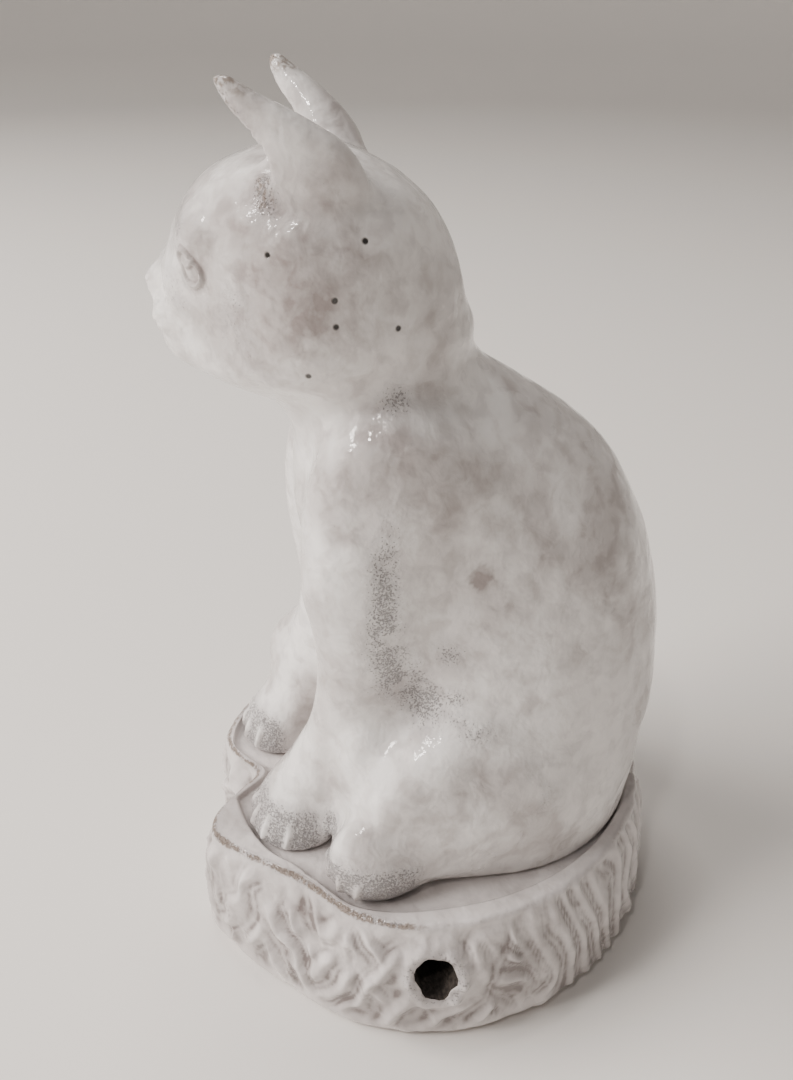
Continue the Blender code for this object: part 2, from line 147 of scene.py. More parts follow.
# Ear in the head's frame: height, forward, sideways, half depth, half width
EAR_STATIONS = (
    (222.0, -8.0, 17.0, 10.0, 10.0),
    (232.0, -8.5, 19.0, 12.0, 8.5),
    (241.0, -6.5, 21.0, 12.8, 6.8),
    (247.0, -1.5, 22.5, 10.5, 5.2),
    (252.0, 5.0, 24.2, 6.2, 3.8),
    (256.0, 9.8, 25.0, 3.6, 3.1),
    (258.0, 11.0, 25.2, 2.4, 2.2),
)
EAR_DEPTHS = ((1.0, 1.0), (-1.0, 0.72))  # side of the head, share of the depth
EAR_SCOOP_SHIFT = 3.0
EAR_SCOOP_SCALE = 0.62
EAR_SCOOP_END = (244.0, 253.0)  # heights between which the scoop closes
EAR_SCOOP_CLOSING = 0.85

# Rounded lumps: middle, radii, turn about the vertical and rise of the front in degrees, blend
HAUNCHES_AND_PAWS = (
    ((37.0, 6.0, 63.0), (19.5, 36.0, 28.0), 0.0, 10.0, 8.0),
    ((-37.0, -5.0, 63.0), (19.5, 40.0, 26.0), 0.0, 10.0, 10.0),
    ((42.0, -20.5, 49.0), (15.5, 18.5, 15.5), 26.0, 0.0, 4.0),
    ((-43.5, -27.0, 48.5), (14.0, 17.0, 15.5), -16.0, 0.0, 4.0),
)

# Clay smoothed into the hollows between the legs, the haunches and the belly
FILLETS = (
    ((32.0, -22.0, 66.0), (9.0, 10.0, 20.0), 0.0, 0.0, 6.0),
    ((45.0, -3.0, 52.0), (9.0, 16.0, 12.0), 8.0, 0.0, 7.0),
    ((-33.0, -24.0, 64.0), (8.0, 10.0, 18.0), 0.0, 0.0, 6.0),
    ((24.0, -12.0, 158.0), (12.0, 22.0, 22.0), 0.0, 0.0, 12.0),
    ((-26.0, -12.0, 156.0), (12.0, 20.0, 22.0), 0.0, 0.0, 12.0),
)

# Forms of the face in the head's frame: forward, sideways, height; radii; blend.  Those that lie
# to one side are made on both.
FACE_LUMPS = (
    ((21.0, 15.5, 221.0), (6.0, 7.0, 5.0), 7.0),
    ((32.0, 0.0, 211.0), (6.6, 4.6, 6.0), 4.0),
    ((39.0, 0.0, 205.4), (4.5, 4.6, 4.0), 4.0),
    ((32.8, 5.0, 197.6), (8.2, 7.2, 4.8), 3.0),
    ((30.0, 0.0, 190.5), (9.4, 8.5, 6.0), 4.5),
)
FACE_HOLLOWS = (
    ((44.0, 0.0, 216.5), (8.6, 10.0, 4.4), 6.0),
    ((43.5, 11.0, 205.5), (7.0, 5.5, 5.0), 6.0),
)

TAIL_ROUTE = (
    (8.0, 57.0, 52.0), (-10.0, 66.0, 50.5), (-30.0, 60.0, 49.5), (-45.0, 44.0, 48.5),
    (-53.5, 24.0, 48.0), (-56.5, 4.0, 48.0), (-55.5, -10.0, 48.0),
)
TAIL_RADIUS = 8.0

# Paws: middle, half width and half depth, toe-out and the directions of the lines between toes
PAWS = (
    ((17.5, -44.5), (15.5, 14.5), 24.0, (-52.0, -22.0, 8.0, 44.0)),
    ((-27.0, -44.5), (14.5, 13.5), 0.0, (-46.0, -16.0, 14.0, 44.0)),
    ((42.0, -20.0), (15.5, 18.5), 26.0, (-42.0, -20.0, 2.0, 24.0)),
    ((-43.5, -27.0), (14.0, 17.0), -16.0, (-38.0, -12.0, 12.0, 38.0)),
)

EYE_MIDDLE = (22.9, 21.2, 214.6)  # forward, sideways and height in the head's frame

# Front edge of an ear in the head's frame: forward, sideways, height
EAR_EDGE = ((12.5, 25.0, 256.0), (10.8, 25.0, 251.0), (8.5, 24.5, 247.0), (6.0, 24.0, 242.0),
            (3.5, 23.5, 236.0), (2.0, 25.0, 230.0))

# Fold where an ear joins the head, in the head's frame
EAR_FOLD = ((1.0, 27.5, 230.0), (-8.0, 28.0, 230.0), (-15.0, 26.0, 230.0), (-20.0, 22.0, 231.0))

# Speckled groove behind the left foreleg, the valley below it, and the ridges of shin and knee
GROOVE_PATH = ((24.0, -13.0, 184.0), (24.0, -13.5, 172.0), (33.0, -16.5, 156.0),
               (37.0, -18.5, 145.0), (38.5, -19.0, 125.0), (36.0, -15.0, 106.0), (38.0, -8.5, 98.0))
VALLEY_PATH = ((38.0, -7.5, 100.0), (38.0, -13.0, 91.0), (42.0, -26.0, 77.0),
               (40.0, -31.0, 65.0), (38.0, -36.0, 54.0))
SHIN_PATH = ((47.5, 6.0, 92.0), (50.5, -12.0, 78.0), (47.0, -30.0, 62.0))
KNEE_PATH = ((44.0, -1.0, 94.0), (48.0, 9.0, 90.0), (55.0, 23.0, 71.0))

# Clusters of specks and a thin patch on the flank
SPECK_CLUSTERS = ((42.0, 0.0, 101.0), (39.0, -1.0, 114.0))
THIN_PATCH = (37.0, 7.5, 137.0)

# Pinholes in the glaze
PINHOLES = (
    (23.0, -42.0, 221.0), (25.0, -20.0, 223.5), (27.5, -13.0, 203.5), (29.0, -28.0, 211.5),
    (29.5, -28.0, 205.5), (26.5, -34.5, 193.0), (27.0, -15.0, 163.0), (37.0, -8.0, 105.5),
    (41.0, -2.5, 100.0),
)

# How softly the cat's forms run into each other, in mm
NECK_BLEND = 7.0
LEG_BLEND = 8.0
TAIL_BLEND = 3.0
EAR_BLEND = 5.0
CUT_BLEND = 1.5

# Meshing of the cat's skin
VOXEL = 1.1
BAND = 8  # reach of the distance fields, in voxels
FAR = BAND * VOXEL
LINING_DEPTH = 2.5  # faces deeper than this under the outside belong to the lining
GRID_LOW = np.array((-64, -70, 30))  # first and last voxel of the grid
GRID_HIGH = np.array((62, 78, 240))

# Colours of the glazes
CAT_WHITE = (0.84, 0.815, 0.80, 1.0)
CAT_GREY = (0.31, 0.265, 0.255, 1.0)
STUMP_WHITE = (0.70, 0.655, 0.645, 1.0)
STUMP_GREY = (0.15, 0.12, 0.115, 1.0)
SPECKLE_HAZE = (0.42, 0.40, 0.41, 1.0)
SPECK = (0.13, 0.12, 0.12, 1.0)
WORN = (0.17, 0.12, 0.085, 1.0)
PINHOLE = (0.02, 0.018, 0.016, 1.0)
# painted shade: near black for the inside of the chamber, seen only through the hole
PAINTED_CHAMBER_SHADE = (0.03, 0.027, 0.025, 1.0)

# Stage: radius and height of the floor's rings, in metres, as it curves up into a backdrop
SWEEP = ((2.2, 0.0), (2.7, 0.06), (3.1, 0.3), (3.3, 0.8), (3.35, 2.4))
SWEEP_SIDES = 64
LIGHT_COLOUR = (1.0, 0.945, 0.89)

# Camera
CAMERA_PLACE = (0.2516, -0.0628, 0.279)
CAMERA_AZIMUTH = 78.0
CAMERA_PITCH = -30.2
CAMERA_LENS = 33.33


# ---- small helpers ----

def remap(value, zero_at, one_at):
    """0 at zero_at and beyond, 1 at one_at and beyond, smooth between; either may be greater."""
    t = np.clip((value - zero_at) / (one_at - zero_at), 0.0, 1.0)
    return t * t * (3.0 - 2.0 * t)


def bump(angle_degrees, middle_degrees, width_degrees):
    """A smooth hill over an angle, 1 at its middle."""
    offset = (angle_degrees - middle_degrees + 180.0) % 360.0 - 180.0
    return np.exp(-(offset / width_degrees) ** 2)


def smooth_noise(points, size, seed):
    """Smooth random values from -1 to 1 that change over about `size` millimetres."""
    period = 64
    table = np.random.default_rng(seed).uniform(-1.0, 1.0, (period, period, period))
    place = np.asarray(points) / size
    low = np.floor(place).astype(int)
    t = place - low
    t = t ** 3 * (t * (6.0 * t - 15.0) + 10.0)
    total = np.zeros(len(place))
    for corner in np.ndindex(2, 2, 2):
        weight = np.prod(np.where(np.array(corner) == 1, t, 1.0 - t), axis=1)
        i, j, k = ((low + corner) % period).T
        total += weight * table[i, j, k]
    return total


def head_point(forward, sideways, height):
    """A place in the head's turned frame; sideways is towards the cat's own left."""
    return HEAD_CENTRE + FACING * forward + LEFTWARD * sideways + np.array((0.0, 0.0, height))


def in_head_frame(points):
    """Forward, sideways and height of each point in the head's turned frame."""
    offset = points - HEAD_CENTRE
    return offset @ FACING, offset @ LEFTWARD, points[:, 2]


def in_metres(points):
    """Drawing coordinates in millimetres, as metres around the object's origin."""
    return (np.asarray(points) - STUMP_MIDDLE) * MM


def add_object(name, data):
    """An object of the given data, linked into the scene."""
    obj = bpy.data.objects.new(name, data)
    bpy.context.scene.collection.objects.link(obj)
    return obj


def mesh_object(name, points, faces, normals=None):
    """An object in metres from points in millimetres, smooth shaded."""
    mesh = bpy.data.meshes.new(name)
    corners = faces.shape[1]
    mesh.vertices.add(len(points))
    mesh.vertices.foreach_set("co", in_metres(points).astype(np.float32).ravel())
    mesh.loops.add(faces.size)
    mesh.loops.foreach_set("vertex_index", faces.astype(np.int32).ravel())
    mesh.polygons.add(len(faces))
    mesh.polygons.foreach_set("loop_start", np.arange(0, faces.size, corners, dtype=np.int32))
    mesh.update(calc_edges=True)
    mesh.shade_smooth()
    if normals is not None:
        mesh.normals_split_custom_set_from_vertices(normals.tolist())
    return add_object(name, mesh)


def paint(obj, name, values):
    """Store one number per vertex for the materials."""
    layer = obj.data.attributes.new(name, "FLOAT", "POINT")
    layer.data.foreach_set("value", np.asarray(values, dtype=np.float32))


def vertex_normals(points, faces):
    """Unit normals, each the sum of the normals of the faces around its point."""
    a, b, c, d = (points[faces[:, i]] for i in range(4))
    face_normals = np.cross(c - a, d - b)
    total = np.zeros_like(points)
    for i in range(4):
        np.add.at(total, faces[:, i], face_normals)
    return total / np.maximum(np.linalg.norm(total, axis=1, keepdims=True), 1e-9)


def relax(points, faces, rounds, where=None):
    """Move each point part of the way to the mean of its neighbours."""
    ends = np.concatenate([faces[:, (i, (i + 1) % 4)] for i in range(4)])
    ends = ends[ends[:, 0] != ends[:, 1]]
    count = np.maximum(np.bincount(ends[:, 0], minlength=len(points)), 1)[:, None]
    share = 0.5 if where is None else 0.5 * where[:, None]
    for _ in range(rounds):
        total = np.zeros_like(points)
        for axis in range(3):
            total[:, axis] = np.bincount(ends[:, 0], weights=points[ends[:, 1], axis],
                                         minlength=len(points))
        points = points + share * (total / count - points)
    return points


def distance_to_stretch(places, start, end):
    """Distance of each place from the straight line between two points."""
    along = end - start
    share = np.clip((places - start) @ along / (along @ along), 0.0, 1.0)
    return np.linalg.norm(places - start - share[..., None] * along, axis=-1)


# ---- distance fields for the cat ----

def oval(middle, half_x, half_y, turn=0.0, slope=0.0, narrowing=0.0, sides=CAGE_SIDES):
    """Corners of an oval cross-section; -Y is its front, where narrowing pulls its sides in."""
    angle = 2.0 * math.pi * np.arange(sides) / sides
    forward = np.cos(angle)
    x = half_x * np.sin(angle) * (1.0 - narrowing * np.maximum(0.0, forward))
    y = -half_y * forward
    turned = (x * math.cos(turn) - y * math.sin(turn), x * math.sin(turn) + y * math.cos(turn))
    return np.stack((middle[0] + turned[0], middle[1] + turned[1], middle[2] + slope * y), axis=1)


def neck_ring(rise, turn=0.0):
    half = NECK_RADIUS * CAGE_SWELL
    return oval(NECK_CENTRE + (0.0, 0.0, rise), half, half, turn, NECK_SLOPE)


def torso_rings():
    rings = []
    for height, front, back, half_width in TORSO_STATIONS:
        steepness = max(0.0, (height - LEAN_FROM) / (NECK_CENTRE[2] - LEAN_FROM))
        middle_x = TORSO_MIDDLE_X + (NECK_CENTRE[0] - TORSO_MIDDLE_X) * steepness
        rings.append(oval((middle_x, (front + back) / 2.0, height), half_width * CAGE_SWELL,
                          (back - front) / 2.0 * CAGE_SWELL, slope=NECK_SLOPE * steepness))
    return rings + [neck_ring(rise) for rise in (0.0, 6.0, 14.0)]


def foreleg_rings(stations):
    return [oval((x, y, height), half_width * CAGE_SWELL, half_depth * CAGE_SWELL,
                 turn=math.radians(toe_out))
            for height, x, y, half_width, half_depth, toe_out in stations]


def head_rings():
    rings = [neck_ring(rise, -HEAD_TURN) for rise in (-8.0, 0.0)]
    for height, slope, back, front, half_width, narrowing in HEAD_STATIONS:
        rings.append(oval(head_point((front + back) / 2.0, 0.0, height),
                          half_width * CAGE_SWELL, (front - back) / 2.0 * CAGE_SWELL,
                          turn=-HEAD_TURN, slope=slope, narrowing=narrowing))
    return rings


def ear_rings(side, depth, scoop=False):
    """Rings of an ear, or of the scoop that hollows it and closes below the tip."""
    rings = []
    for height, forward, sideways, half_depth, half_width in EAR_STATIONS:
        scale = 1.0
        if scoop:
            scale = EAR_SCOOP_SCALE * (1.0 - EAR_SCOOP_CLOSING * float(
                remap(height, *EAR_SCOOP_END)))
        reach = half_depth * depth * scale
        shift = half_depth - reach + (EAR_SCOOP_SHIFT if scoop else 0.0)
        middle = head_point(forward + shift, side * sideways, height)
        rings.append(oval(middle, half_width * scale, reach, turn=-HEAD_TURN, sides=12))
    return rings


def loft_field(rings):
    """Distance field of a soft closed form drawn through a stack of rings."""
    sides = len(rings[0])
    faces = [tuple(range(sides))[::-1]]
    for row in range(len(rings) - 1):
        for i in range(sides):
            following = (i + 1) % sides
            faces.append((row * sides + i, row * sides + following,
                          (row + 1) * sides + following, (row + 1) * sides + i))
    faces.append(tuple((len(rings) - 1) * sides + i for i in range(sides)))
    mesh = bpy.data.meshes.new("form")
    mesh.from_pydata(np.concatenate(rings).tolist(), [], faces)
    form = add_object("form", mesh)
    form.modifiers.new("soften", "SUBSURF").levels = 4
    evaluated = form.evaluated_get(bpy.context.evaluated_depsgraph_get()).data
    points = np.empty(len(evaluated.vertices) * 3, dtype=np.float32)
    evaluated.vertices.foreach_get("co", points)
    quads = np.empty(len(evaluated.loops), dtype=np.int32)
    evaluated.loops.foreach_get("vertex_index", quads)
    grid = openvdb.FloatGrid.createLevelSetFromPolygons(
        points.reshape(-1, 3), quads=quads.reshape(-1, 4).astype(np.uint32),
        transform=openvdb.createLinearTransform(voxelSize=VOXEL), halfWidth=BAND)
    field = np.empty(GRID_HIGH - GRID_LOW, dtype=np.float32)
    grid.copyToArray(field, ijk=tuple(int(i) for i in GRID_LOW))
    bpy.data.objects.remove(form, do_unlink=True)
    bpy.data.meshes.remove(mesh)
    return field


def smooth_union(a, b, blend):
    near = np.maximum(blend - np.abs(a - b), 0.0) / blend
    return np.minimum(a, b) - near * near * blend * 0.25


def smooth_cut(a, b, blend):
    """Field a with the form of field b taken out of it."""
    return -smooth_union(-a, b, blend)


def block(low, high):
    """The part of the grid that covers a box: its slices and the places of its voxels."""
    first = np.maximum(np.floor(np.array(low) / VOXEL).astype(int), GRID_LOW)
    last = np.minimum(np.ceil(np.array(high) / VOXEL).astype(int), GRID_HIGH)
    slices = tuple(slice(a, b) for a, b in zip(first - GRID_LOW, last - GRID_LOW))
    axes = [np.arange(a, b) * VOXEL for a, b in zip(first, last)]
    return slices, np.stack(np.meshgrid(*axes, indexing="ij"), axis=-1)


def ellipsoid_distance(places, middle, radii, turn_degrees, rise_degrees):
    """Approximate distance to an ellipsoid whose front is raised, then turned."""
    turn, rise = math.radians(turn_degrees), math.radians(rise_degrees)
    offset = places - np.array(middle)
    x = offset[..., 0] * math.cos(turn) + offset[..., 1] * math.sin(turn)
    y = -offset[..., 0] * math.sin(turn) + offset[..., 1] * math.cos(turn)
    z = offset[..., 2]
    local = np.stack((x, y * math.cos(rise) - z * math.sin(rise),
                      y * math.sin(rise) + z * math.cos(rise)), axis=-1)
    scaled = local / np.array(radii)
    size = np.linalg.norm(scaled, axis=-1)
    slope = np.maximum(np.linalg.norm(scaled / np.array(radii), axis=-1), 1e-6)
    return size * (size - 1.0) / slope


def add_lump(field, middle, radii, turn, rise, blend, cut=False):
    """Blend an ellipsoid into the field, or carve it out."""
    reach = max(radii) + FAR
    middle = np.array(middle)
    slices, places = block(middle - reach, middle + reach)
    distance = ellipsoid_distance(places, middle, radii, turn, rise)
    join = smooth_cut if cut else smooth_union
    field[slices] = join(field[slices], distance, blend)


def add_face_forms(field, forms, cut):
    """Blend lumps of the face into the field, or carve its hollows out."""
    turn = -math.degrees(HEAD_TURN)
    for (forward, sideways, height), (depth, width, tall), blend in forms:
        for side in (1.0, -1.0) if sideways else (1.0,):
            add_lump(field, head_point(forward, side * sideways, height), (width, depth, tall),
                     turn, 0.0, blend, cut)


def add_tail(field):
    route = np.array(TAIL_ROUTE)
    steps = np.linspace(0.0, len(route) - 1.0, 49)
    middle = np.stack([np.interp(steps, np.arange(len(route)), route[:, i]) for i in range(3)], 1)
    for _ in range(12):
        middle[1:-1] = 0.25 * middle[:-2] + 0.5 * middle[1:-1] + 0.25 * middle[2:]
    radii = TAIL_RADIUS * (1.0 - 0.5 * remap(steps, len(route) - 2.0, len(route) - 1.0))
    reach = TAIL_RADIUS + FAR
    slices, places = block(middle.min(0) - reach, middle.max(0) + reach)
    nearest = np.full(places.shape[:3], FAR)
    for start, end, radius in zip(middle, middle[1:], radii):
        np.minimum(nearest, distance_to_stretch(places, start, end) - radius, out=nearest)
    field[slices] = smooth_union(field[slices], nearest, TAIL_BLEND)


def cat_fields():
    """Distance fields of the cat's outside and of the room inside it."""
    torso = loft_field(torso_rings())
    head = loft_field(head_rings())
    core = smooth_union(torso, head, NECK_BLEND)
    outside = core.copy()
    for middle, radii, turn, rise, blend in HAUNCHES_AND_PAWS:
        add_lump(outside, middle, radii, turn, rise, blend)
    for stations in (LEFT_LEG_STATIONS, RIGHT_LEG_STATIONS):
        outside = smooth_union(outside, loft_field(foreleg_rings(stations)), LEG_BLEND)
    for middle, radii, turn, rise, blend in FILLETS:
        add_lump(outside, middle, radii, turn, rise, blend)
    add_tail(outside)
    add_face_forms(outside, FACE_HOLLOWS, cut=True)
    add_face_forms(outside, FACE_LUMPS, cut=False)
    for side, depth in EAR_DEPTHS:
        scoop = loft_field(ear_rings(side, depth, scoop=True))
        ear = smooth_cut(loft_field(ear_rings(side, depth)), scoop, CUT_BLEND)
        outside = smooth_union(outside, ear, EAR_BLEND)
    return outside, core + SHELL


def mesh_field(field):
    """Points and quads of the surface where the field is zero, facing outwards."""
    grid = openvdb.FloatGrid(FAR)
    grid.copyFromArray(field.astype(np.float32), ijk=tuple(int(i) for i in GRID_LOW))
    grid.transform = openvdb.createLinearTransform(voxelSize=VOXEL)
    points, quads = grid.convertToQuads(isovalue=0.0)
    points, quads = points.astype(float), quads.astype(int)
    a, b, c, d = (points[quads[:, i]] for i in range(4))
    if np.einsum("ij,ij->", a, np.cross(c - a, d - b)) < 0.0:
        quads = quads[:, ::-1]
    return points, quads


def sample(field, points):
    """Value of a field at the voxel nearest to each point."""
    index = np.rint(points / VOXEL).astype(int) - GRID_LOW
    index = np.clip(index, 0, np.array(field.shape) - 1)
    return field[tuple(index.T)]


def part_of_mesh(points, faces, keep):
    """The kept faces with only the points that they use, and which points those were."""
    used, faces = np.unique(faces[keep], return_inverse=True)
    return points[used], faces.reshape(-1, 4), used


# ---- cat ----

def make_cat():
    outside, room = cat_fields()
    _, places = block(GRID_LOW * VOXEL, GRID_HIGH * VOXEL)
    shell = smooth_cut(outside, room, CUT_BLEND)
    shell = smooth_cut(shell, places[..., 2] - SOLE_Z, CUT_BLEND)
    points, faces = mesh_field(shell)
    centres = points[faces].mean(axis=1)
    lining = (sample(outside, centres) < -LINING_DEPTH) & (centres[:, 2] > SOLE_Z + 1.2)

    skin, skin_faces, _ = part_of_mesh(points, faces, ~lining)
    skin = relax(skin, skin_faces, 3)
    skin, skin_faces, hanging = refine(skin, skin_faces, detail_region)
    skin = relax(skin, skin_faces, 2, where=detail_region(skin).astype(float))
    skin, marks = shape_skin(skin, skin_faces)
    skin[hanging[0]] = skin[hanging[1]].mean(axis=1)
    normals = vertex_normals(skin, skin_faces)
    normals[hanging[0]] = normals[hanging[1]].mean(axis=1)
    middles = skin[skin_faces].mean(axis=1)
    above_neck = middles[:, 2] > NECK_CENTRE[2] + NECK_SLOPE * (middles[:, 1] - NECK_CENTRE[1])
    pieces = []
    for name, keep in (("cat_body_skin", ~above_neck), ("cat_head_skin", above_neck)):
        part, part_faces, used = part_of_mesh(skin, skin_faces, keep)
        pieces.append(mesh_object(name, part, part_faces, normals[used]))
        for mark, values in marks.items():
            paint(pieces[-1], mark, values[used])

    inner, inner_faces, _ = part_of_mesh(points, faces, lining)
    pieces.append(mesh_object("cat_lining", relax(inner, inner_faces, 2), inner_faces))
    return pieces


def detail_region(points):
    """Where the skin needs finer mesh: the face and the toes."""
    forward, _, height = in_head_frame(points)
    face = (forward > 4.0) & (height > 184.0) & (height < 228.0)
    return face | ((height < 56.0) & (points[:, 1] < -20.0))


def refine(points, faces, region):
    """Split the quads of a region in four.

    Also returns the points left halfway along an unsplit edge, with that edge's two ends, so
    that they can be put back on it after the points have moved.
    """
    split = region(points[faces].mean(axis=1))
    chosen = faces[split]
    edges = np.sort(np.stack([chosen[:, (i, (i + 1) % 4)] for i in range(4)], axis=1), axis=2)
    unique, inverse, uses = np.unique(edges.reshape(-1, 2), axis=0, return_inverse=True,
                                      return_counts=True)
    halves = len(points) + inverse.reshape(-1, 4)
    centres = len(points) + len(unique) + np.arange(len(chosen))
    all_points = np.concatenate((points, points[unique].mean(axis=1),
                                 points[chosen].mean(axis=1)))
    quarters = [np.stack((chosen[:, i], halves[:, i], centres, halves[:, i - 1]), axis=1)
                for i in range(4)]
    single = np.flatnonzero(uses == 1)
    return (all_points, np.concatenate([faces[~split]] + quarters),
            (len(points) + single, unique[single]))


def hollow(points, normals, faces):
    """How far each point lies below (positive) or above the mean of its neighbours, in mm."""
    return np.einsum("ij,ij->i", relax(points, faces, 6) - points, normals)


def hill(distance, width):
    return np.exp(-(distance / width) ** 2)


def near_path(points, path, width):
    """1 on a path of straight stretches, falling off over its width."""
    path = np.array(path)
    return hill(np.minimum.reduce([distance_to_stretch(points, start, end)
                                   for start, end in zip(path, path[1:])]), width)


def toe_ridges(points):
    """Raised lines between the toes, and the band of toes that they divide."""
    ridges = np.zeros(len(points))
    toes = np.zeros(len(points))
    for (x, y), (half_width, half_depth), turn_degrees, directions in PAWS:
        turn = math.radians(turn_degrees)
        offset = points[:, :2] - (x, y)
        across = (offset[:, 0] * math.cos(turn) + offset[:, 1] * math.sin(turn)) / half_width
        ahead = (offset[:, 0] * math.sin(turn) - offset[:, 1] * math.cos(turn)) / half_depth
        degrees = np.degrees(np.arctan2(across, ahead))
        reach = np.hypot(across, ahead)
        size = 0.5 * (half_width + half_depth)
        on_paw = remap(reach, 0.35, 0.6) * remap(reach, 1.35, 1.15)
        band = on_paw * remap(points[:, 2], 58.0, 51.0) * remap(ahead, -0.3, 0.2)
        toes = np.maximum(toes, band)
        for direction in directions:
            slant = direction + 0.9 * (points[:, 2] - SOLE_Z)
            distance = np.radians(degrees - slant) * reach * size
            length = remap(points[:, 2], SOLE_Z + 0.5, SOLE_Z + 3.0) * remap(
                points[:, 2], SOLE_Z + 12.5, SOLE_Z + 7.5)
            ridges = np.maximum(ridges, hill(distance, 1.1) * length * on_paw
                                * remap(ahead, -0.2, 0.1))
    return ridges, toes


def eye_relief(points):
    """Raised outline and lid line of both eyes: height in mm, and painted shade of hollows."""
    forward, sideways, height = in_head_frame(points)
    relief = np.zeros(len(points))
    shade = np.zeros(len(points))
    for side in (1.0, -1.0):
        back = (EYE_MIDDLE[0] - forward) * 0.78 + (side * sideways - EYE_MIDDLE[1]) * 0.63
        up = height - EYE_MIDDLE[2] + 0.18 * back
        depth = (forward - EYE_MIDDLE[0]) * 0.63 + (side * sideways - EYE_MIDDLE[1]) * 0.78
        here = hill(depth, 5.5)
        around = np.arctan2(up, back)
        radius = np.hypot(back, up)
        outline = 3.7 + 0.5 * np.cos(2.0 * (around - 2.1)) + 0.35 * np.cos(3.0 * around)
        rim = hill(radius - outline, 0.5)
        lid_line = up - 0.6 - 0.8 * np.abs(back + 0.4)
        lid = hill(lid_line, 0.45) * remap(radius, 3.4, 2.6)
        ball = remap(radius, 3.6, 0.5)
        socket = hill(radius - outline - 1.1, 0.7)
        relief += here * (0.9 * rim + 0.7 * lid + 0.5 * ball - 0.3 * socket)
        # painted shade just outside and just inside the rim, and under the lid line
        under_rim = 0.6 * hill(radius - outline - 0.9, 0.4) + hill(radius - outline + 0.9, 0.35)
        shade += here * (0.75 * under_rim + 0.6 * hill(lid_line + 0.9, 0.4)
                         * remap(radius, 3.0, 2.4))
    return relief, shade


def mouth_relief(points):
    """Lines of the nose, the cleft lip and the mouth, and the dots of the whisker pads."""
    forward, sideways, height = in_head_frame(points)
    front = remap(forward, 26.0, 31.0)
    aside = np.abs(sideways)
    cleft = hill(sideways, 0.6) * remap(height, 198.0, 199.0) * remap(height, 204.5, 203.5)
    mouth_height = 198.2 - 2.2 * np.sin(np.clip(aside / 10.0, 0.0, 1.0) * math.pi * 0.8)
    mouth = hill(height - mouth_height, 0.65) * remap(aside, 12.5, 9.5)
    nostril = hill(np.hypot(aside - 2.4, (height - 204.4) * 1.4), 0.9)
    wing = hill(height - 203.4 - 0.9 * aside, 0.6) * remap(aside, 4.4, 3.2)
    relief = -front * (0.3 * cleft + 0.45 * mouth + 0.5 * nostril + 0.35 * wing)
    for across, up in ((7.0, 201.8), (9.5, 203.2), (10.0, 200.6), (12.2, 202.2)):
        relief -= 0.35 * front * hill(np.hypot(aside - across, height - up), 0.6)
    return relief


def shape_skin(points, faces):
    """Hand-modelled detail of the clay; also returns the glaze's marks and painted shade."""
    normals = vertex_normals(points, faces)
    calm = remap(points[:, 2], SOLE_Z + 0.5, SOLE_Z + 6.0)
    swell = calm * (0.60 * smooth_noise(points, 26.0, 1) + 0.45 * smooth_noise(points, 13.0, 2)
                    + 0.10 * smooth_noise(points, 5.0, 3))
    ridges, toes = toe_ridges(points)
    eyes, eye_shade = eye_relief(points)
    mirrored = points * (-1.0, 1.0, 1.0)

    def on_both_sides(path, width):
        return np.maximum(near_path(points, path, width), near_path(mirrored, path, width))

    def on_both_ears(path, width):
        return np.maximum.reduce([
            near_path(points, [head_point(ahead, side * out, up) for ahead, out, up in path],
                      width)
            for side in (1.0, -1.0)])

    column = on_both_sides(GROOVE_PATH, 5.0 + 4.0 * remap(points[:, 2], 135.0, 105.0))
    valley = on_both_sides(VALLEY_PATH, 6.5)
    shin = on_both_sides(SHIN_PATH, 6.0)
    knee = near_path(points, KNEE_PATH, 6.0)
    ear_edge = on_both_ears(EAR_EDGE, 4.0)
    ear_fold = on_both_ears(EAR_FOLD, 3.2)
    forward, sideways, height = in_head_frame(points)
    aside = np.abs(sideways)
    cheek = (remap(forward, -4.0, 12.0) * remap(height, 219.0, 209.0)
             * remap(height, 183.0, 188.0) * remap(aside, 9.0, 15.0))
    # temple: the greyer side of the head, partly thinner glaze and partly painted shade
    temple = hill(np.sqrt((forward + 10.0) ** 2 + (aside - 30.0) ** 2
                          + (height - 210.0) ** 2), 21.0)
    brow = hill(np.linalg.norm(points - head_point(25.0, 18.0, 222.0), axis=1), 5.0)
    clusters = np.maximum.reduce([hill(np.linalg.norm(points - place, axis=1), 4.5)
                                  for place in SPECK_CLUSTERS])
    thin_patch = remap(np.abs(points - THIN_PATCH) @ (0.3, 1.0, 0.8), 4.2, 3.4)
    rough = smooth_noise(points, 1.6, 4)
    # Heights of the modelled details, in mm
    detail = (0.9 * ridges + eyes + mouth_relief(points) + 0.5 * knee
              - 2.4 * valley + 1.5 * shin + 0.3 * ear_edge - 0.7 * ear_fold
              - 0.5 * hill(np.abs(column - 1.0), 0.45)
              + 0.10 * rough * np.maximum(column, toes) * calm)
    points = points + normals * (swell + detail)[:, None]
    patches = remap(smooth_noise(points, 9.0, 5) + 0.4 * smooth_noise(points, 4.0, 6), -0.5, 0.5)
    broken = remap(smooth_noise(points, 6.0, 7) + 0.6 * smooth_noise(points, 2.5, 8), -1.7, -0.1)
    speckle = np.maximum.reduce((0.9 * column * broken, 0.9 * toes * (1.0 - ridges),
                                 0.45 * cheek * patches, 0.7 * brow, 0.6 * knee * patches,
                                 0.8 * ear_edge, 0.75 * clusters))
    dip = hollow(points, normals, faces)
    ear_tip = 0.8 * remap(points[:, 2], 250.0, 257.5)
    edge = remap(dip, -0.12, -0.5)
    marks = {
        "speckle": speckle,
        "thin": np.maximum.reduce((ear_tip, 0.6 * ear_edge, 0.45 * edge)),
        # painted shade in hollows, in the ears' folds and round the eyes, partly painted shade on
        # the head's sides, and the flank's real thin patch of glaze
        "painted_shade_and_thin_glaze": np.maximum.reduce((remap(dip, 0.05, 0.45), 0.45 * temple, 0.3 * ear_fold,
                                   0.6 * thin_patch, eye_shade)),
    }
    return points, marks


# ---- stump ----

